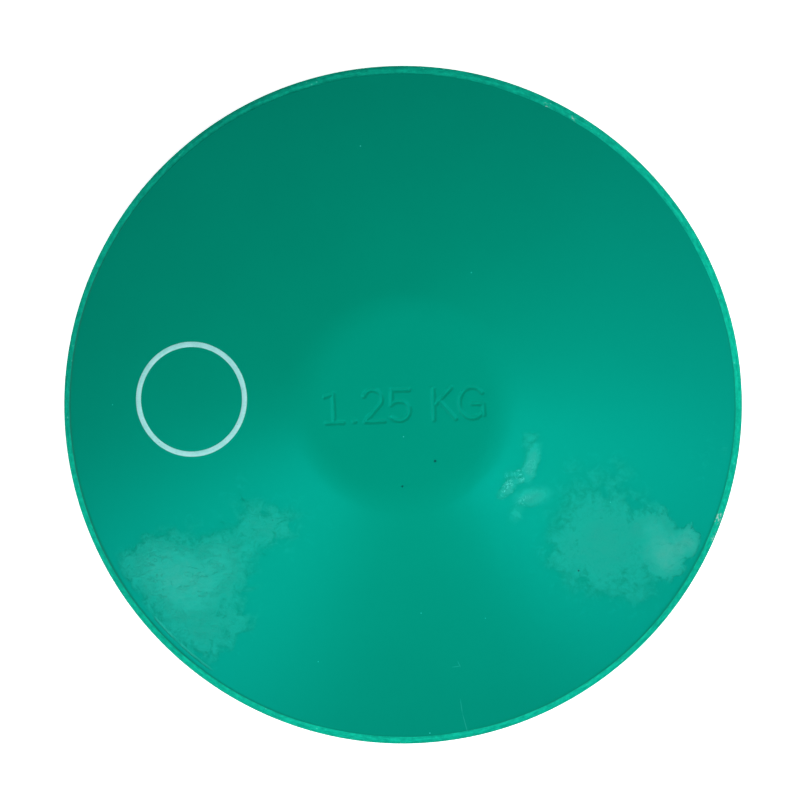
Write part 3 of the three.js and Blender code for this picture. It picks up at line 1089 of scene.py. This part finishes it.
def makeFloor():
    half, drop = floor["halfSize"], floor["drop"]
    mesh = bpy.data.meshes.new("studio_floor")
    corners = [(-half, -half, -drop), (half, -half, -drop), (half, half, -drop), (-half, half, -drop)]
    mesh.from_pydata(corners, [], [(0, 1, 2, 3)])
    sheet = addObject("studio_floor", mesh)
    material = bpy.data.materials.new("paleFloor")
    tree = emptyTree(material)
    matt = addNode(tree, "BsdfDiffuse", {"Color": floor["color"]}).outputs[0]
    strength = times(tree, seenByRays(tree), floor["ownLight"])
    glow = addNode(tree, "Emission", {"Color": (1, 1, 1, 1), "Strength": strength}).outputs[0]
    lit = addNode(tree, "AddShader", {0: matt, 1: glow}).outputs[0]
    clear = addNode(tree, "BsdfTransparent").outputs[0]
    back = addNode(tree, "NewGeometry").outputs["Backfacing"]
    shadowRay = addNode(tree, "LightPath").outputs["Is Shadow Ray"]
    shown = addNode(tree, "MixShader", {0: strongest(tree, [back, shadowRay]), 1: lit, 2: clear}).outputs[0]
    tree.links.new(shown, addNode(tree, "OutputMaterial").inputs["Surface"])
    mesh.materials.append(material)


# Studio light: soft lamps that the cone mirrors towards the camera, low side lamps, a wide one under
# the see-through floor and a pale surround

lamps = [
    # name, angle from straight up, angle round from +X, distance, size, watts
    ("glow_lamp_left", 34.6, -137, 0.5, 0.26, 0.78),
    ("glow_lamp_front", 29.3, -43, 0.72, 0.08, 0.715),
    ("glow_lamp_right", 31, -13, 1.0, 0.2, 1.2),
    ("glow_lamp_side", 12.8, 29, 0.5, 0.29, 0.218),
    ("low_lamp_front", 40, -95, 1.0, 0.8, 1.12),
    ("low_lamp_back", 49, 16, 1.0, 0.8, 2.47),
    ("under_lamp", 180, 0, 0.7, 0.8, 3.5),
]
surround = {"strength": 0.118, "seenStrength": 1.0}


# Each lamp stands at its angles and distance from the disc's middle and faces it
def makeLight():
    for name, tilt, turn, distance, size, watts in lamps:
        data = bpy.data.lights.new(name, "AREA")
        data.shape = "DISK"
        data.size = size
        data.energy = watts
        lamp = addObject(name, data)
        tilt, turn = math.radians(tilt), math.radians(turn)
        reach, height = distance * math.sin(tilt), distance * math.cos(tilt)
        lamp.location = (reach * math.cos(turn), reach * math.sin(turn), disc["midHeight"] + height)
        lamp.rotation_euler = (0, tilt, turn)
    scene.world = bpy.data.worlds.new("paleSurround")
    tree = emptyTree(scene.world)
    strength = remap(tree, seenByRays(tree), 0.0, 1.0, surround["strength"], surround["seenStrength"])
    back = addNode(tree, "Background", {"Color": (1, 1, 1, 1), "Strength": strength})
    tree.links.new(back.outputs[0], addNode(tree, "OutputWorld").inputs["Surface"])


# Camera straight above, placed so that the disc's circle falls where the photograph has it

camera = {
    "imageSize": 800,
    "centrePixelX": 403.08,
    "centrePixelY": 404.75,
    "radiusPixels": 338.66,
    "distance": 0.9,
    "sensor": 36.0,
}


# The lens gives the disc its radius in pixels, and the camera stands off by the pixels of its centre
def makeCamera():
    data = bpy.data.cameras.new("camera")
    data.sensor_width = camera["sensor"]
    pixel = disc["radius"] / camera["radiusPixels"]
    data.lens = camera["sensor"] * camera["distance"] / (pixel * camera["imageSize"])
    middle = camera["imageSize"] / 2
    x, y = (middle - camera["centrePixelX"]) * pixel, (camera["centrePixelY"] - middle) * pixel
    scene.camera = addObject("camera", data)
    scene.camera.location = (x, y, disc["midHeight"] + camera["distance"])


makeCamera()
makeLight()
makeFloor()
print("camera, light and floor made")
upper, lower = makeHalves()
band = makeSeamBand()
ring = makePrintedRing()

greenMaterial = makeGreenRubber()
upper.data.materials.append(greenMaterial)
lower.data.materials.append(greenMaterial)
band.data.materials.append(makeGroundRubber())
ring.data.materials.append(makePaleInk())
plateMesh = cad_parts["weight_plate"].data
plateMesh.materials.clear()
plateMesh.materials.append(makeWeightSteel())
print("materials made")
